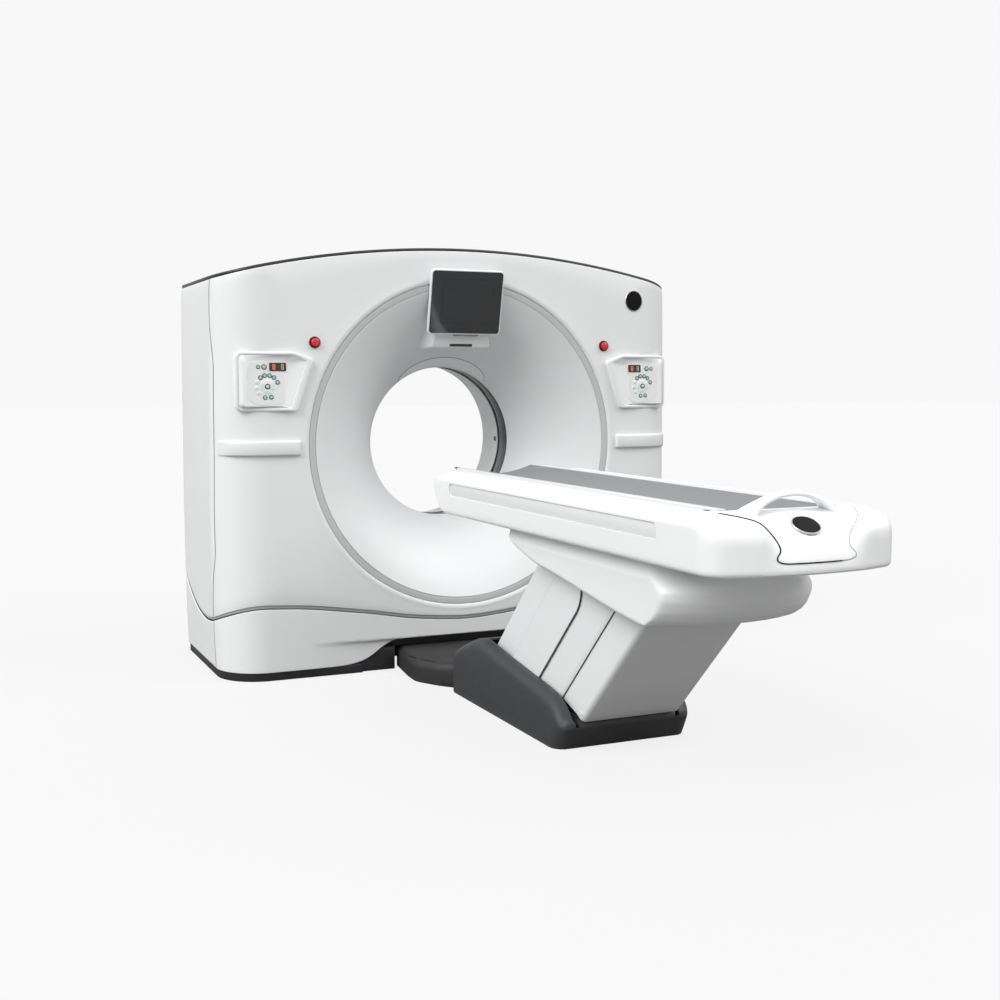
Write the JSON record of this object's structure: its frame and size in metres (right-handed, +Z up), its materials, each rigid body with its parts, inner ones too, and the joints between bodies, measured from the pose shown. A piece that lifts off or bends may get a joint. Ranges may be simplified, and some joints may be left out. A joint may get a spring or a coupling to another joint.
{
  "type": "ct scanner",
  "caption": "Medical imaging scanner: tilting white ring gantry with a wide bore, facing a lifting patient table whose padded cradle slides into the bore.",
  "frame": {"origin": "on the floor straight below the isocentre, at the centre of the gantry's four floor anchors", "axes": "+Z up; +Y along the bore from the patient table into the gantry; +X to the right when facing the gantry from the table"},
  "size_m": [2.2498, 3.562, 1.8838],
  "materials": {
    "casing_white": "satin moulded casing, very lightly textured, clean",
    "trim_black": "satin black moulded trim",
    "ring_grey": "satin grey trim band",
    "window_dark": "smooth dark translucent film",
    "liner_grey": "satin light grey liner",
    "display_white": "white moulded screen housing",
    "screen_glass": "dark glossy cover glass, screen off",
    "keypad_film": "printed membrane, semi-matt, symbols left out",
    "bar_grey": "grey moulded trim bar, no lettering",
    "stop_red": "glossy red button",
    "stop_collar": "dark maroon collar",
    "frame_steel": "powder-coated steel weldment",
    "bright_steel": "machined steel",
    "rotor_alloy": "machined aluminium",
    "ring_brass": "brass contact rings",
    "component_grey": "painted component housing",
    "component_black": "black painted component housing",
    "belt_black": "black ribbed belt",
    "base_dark": "dark grey satin moulding",
    "strip_white": "white painted sheet metal",
    "shroud_white": "white moulded shroud, satin",
    "hoop_white": "white moulded handle",
    "cradle_shell": "pale grey carbon-fibre cradle with a satin coat",
    "mat_grey": "grey vinyl covered foam, seams at the long edges"
  },
  "bodies": {
    "base": {"gantry_base_frame": "frame_steel", "pedestal_left": "frame_steel", "pedestal_right": "frame_steel", "tilt_gearmotor": "component_grey", "lower_front_cover": "casing_white", "lower_side_cover_left": "casing_white", "lower_side_cover_right": "casing_white", "lower_rear_cover": "casing_white", "base_skirt": "trim_black", "floor_link_cover": "base_dark", "table_base_frame": "frame_steel", "table_base_cover": "base_dark"},
    "gantry": {"tilt_frame": "frame_steel", "front_cover": "casing_white", "rear_cover": "casing_white", "side_cover_left": "casing_white", "side_cover_right": "casing_white", "top_cover": "trim_black", "front_funnel": "casing_white", "ring_trim": "ring_grey", "scan_window": "window_dark", "rear_funnel": "liner_grey", "crescent_window": "window_dark", "monitor_housing": "display_white", "monitor_glass": "screen_glass", "console_left": "display_white", "console_right": "display_white", "console_keypads": "keypad_film", "trim_bar_left": "bar_grey", "trim_bar_right": "bar_grey", "estop_collars": "stop_collar", "main_bearing": "bright_steel", "brush_block": "component_black", "drive_motor": "component_black", "drive_belt": "belt_black"},
    "rotor": {"rotor_drum": "rotor_alloy", "slip_ring": "ring_brass", "xray_tube": "bright_steel", "collimator": "component_grey", "detector_array": "component_grey", "hv_generator": "component_grey", "heat_exchanger": "rotor_alloy"},
    "pulley": {"drive_pulley": "rotor_alloy"},
    "stop_button_left": {"estop_button_left": "stop_red"},
    "stop_button_right": {"estop_button_right": "stop_red"},
    "link_front": {"front_link": "frame_steel"},
    "link_rear": {"rear_link": "frame_steel"},
    "actuator": {"lift_actuator_body": "component_grey"},
    "actuator_rod": {"lift_actuator_rod": "bright_steel"},
    "strip_a": {"cover_strip_a": "strip_white"},
    "strip_b": {"cover_strip_b": "strip_white"},
    "strip_c": {"cover_strip_c": "strip_white"},
    "strip_d": {"cover_strip_d": "strip_white"},
    "tabletop": {"tabletop_frame": "frame_steel", "tabletop_cover": "casing_white", "saddle_shroud": "shroud_white", "end_panel": "casing_white", "hoop_handle": "hoop_white"},
    "sliding_cradle": {"cradle": "cradle_shell", "mat": "mat_grey"}
  },
  "joints": [
    {"name": "gantry_tilt", "type": "hinge", "parent": "base", "child": "gantry", "pos_m": [0, 0, 1.009], "axis": [1, 0, 0], "range_deg": [-30, 30]},
    {"name": "rotor_spin", "type": "hinge", "parent": "gantry", "child": "rotor", "pos_m": [0, 0.1, 1.009], "axis": [0, 1, 0], "continuous": true},
    {"name": "pulley_spin", "type": "hinge", "parent": "gantry", "child": "pulley", "pos_m": [-0.346, 0.17, 1.752], "axis": [0, 1, 0], "continuous": true},
    {"name": "stop_left", "type": "slide", "parent": "gantry", "child": "stop_button_left", "axis": [0, 1, 0], "range_m": [0, 0.005], "stiffness_N_per_m": 2400, "springref_m": -0.002},
    {"name": "stop_right", "type": "slide", "parent": "gantry", "child": "stop_button_right", "axis": [0, 1, 0], "range_m": [0, 0.005], "stiffness_N_per_m": 2400, "springref_m": -0.002},
    {"name": "table_lift", "type": "hinge", "parent": "base", "child": "link_front", "pos_m": [0, -1.17, 0.12], "axis": [-1, 0, 0], "range_deg": [-30, 5]},
    {"name": "rear_link_pivot", "type": "hinge", "parent": "base", "child": "link_rear", "pos_m": [0, -1.73, 0.12], "axis": [-1, 0, 0], "range_deg": [-30.5, 5.5]},
    {"name": "strip_a_pivot", "type": "hinge", "parent": "base", "child": "strip_a", "pos_m": [0, -1.07, 0.13], "axis": [-1, 0, 0], "range_deg": [-30.5, 5.5]},
    {"name": "strip_b_pivot", "type": "hinge", "parent": "base", "child": "strip_b", "pos_m": [0, -1.2735, 0.13], "axis": [-1, 0, 0], "range_deg": [-30.5, 5.5]},
    {"name": "strip_c_pivot", "type": "hinge", "parent": "base", "child": "strip_c", "pos_m": [0, -1.5266, 0.13], "axis": [-1, 0, 0], "range_deg": [-30.5, 5.5]},
    {"name": "strip_d_pivot", "type": "hinge", "parent": "base", "child": "strip_d", "pos_m": [0, -1.87, 0.14], "axis": [-1, 0, 0], "range_deg": [-30.5, 5.5]},
    {"name": "tabletop_pivot", "type": "hinge", "parent": "link_front", "child": "tabletop", "pos_m": [0, -1.74983, 0.69983], "axis": [-1, 0, 0], "range_deg": [-5.5, 30.5]},
    {"name": "actuator_swing", "type": "hinge", "parent": "base", "child": "actuator", "pos_m": [0, -1.51, 0.05], "axis": [1, 0, 0], "range_deg": [-3.75, 0.71]},
    {"name": "actuator_stroke", "type": "slide", "parent": "actuator", "child": "actuator_rod", "axis": [0, 0.8124, 0.5831], "range_m": [-0.0731, 0.0139]},
    {"name": "cradle_slide", "type": "slide", "parent": "tabletop", "child": "sliding_cradle", "axis": [0, 1, 0], "range_m": [0, 1.7]}
  ],
  "couplings": [
    {"joint": "pulley_spin", "follows": "rotor_spin", "ratio": 12.818},
    {"joint": "rear_link_pivot", "follows": "table_lift", "ratio": 1},
    {"joint": "strip_a_pivot", "follows": "table_lift", "ratio": 1},
    {"joint": "strip_b_pivot", "follows": "table_lift", "ratio": 1},
    {"joint": "strip_c_pivot", "follows": "table_lift", "ratio": 1},
    {"joint": "strip_d_pivot", "follows": "table_lift", "ratio": 1},
    {"joint": "tabletop_pivot", "follows": "table_lift", "ratio": -1},
    {"joint": "actuator_swing", "follows": "table_lift", "ratio": 0.1216},
    {"joint": "actuator_stroke", "follows": "table_lift", "m_per_rad": 0.1358}
  ]
}
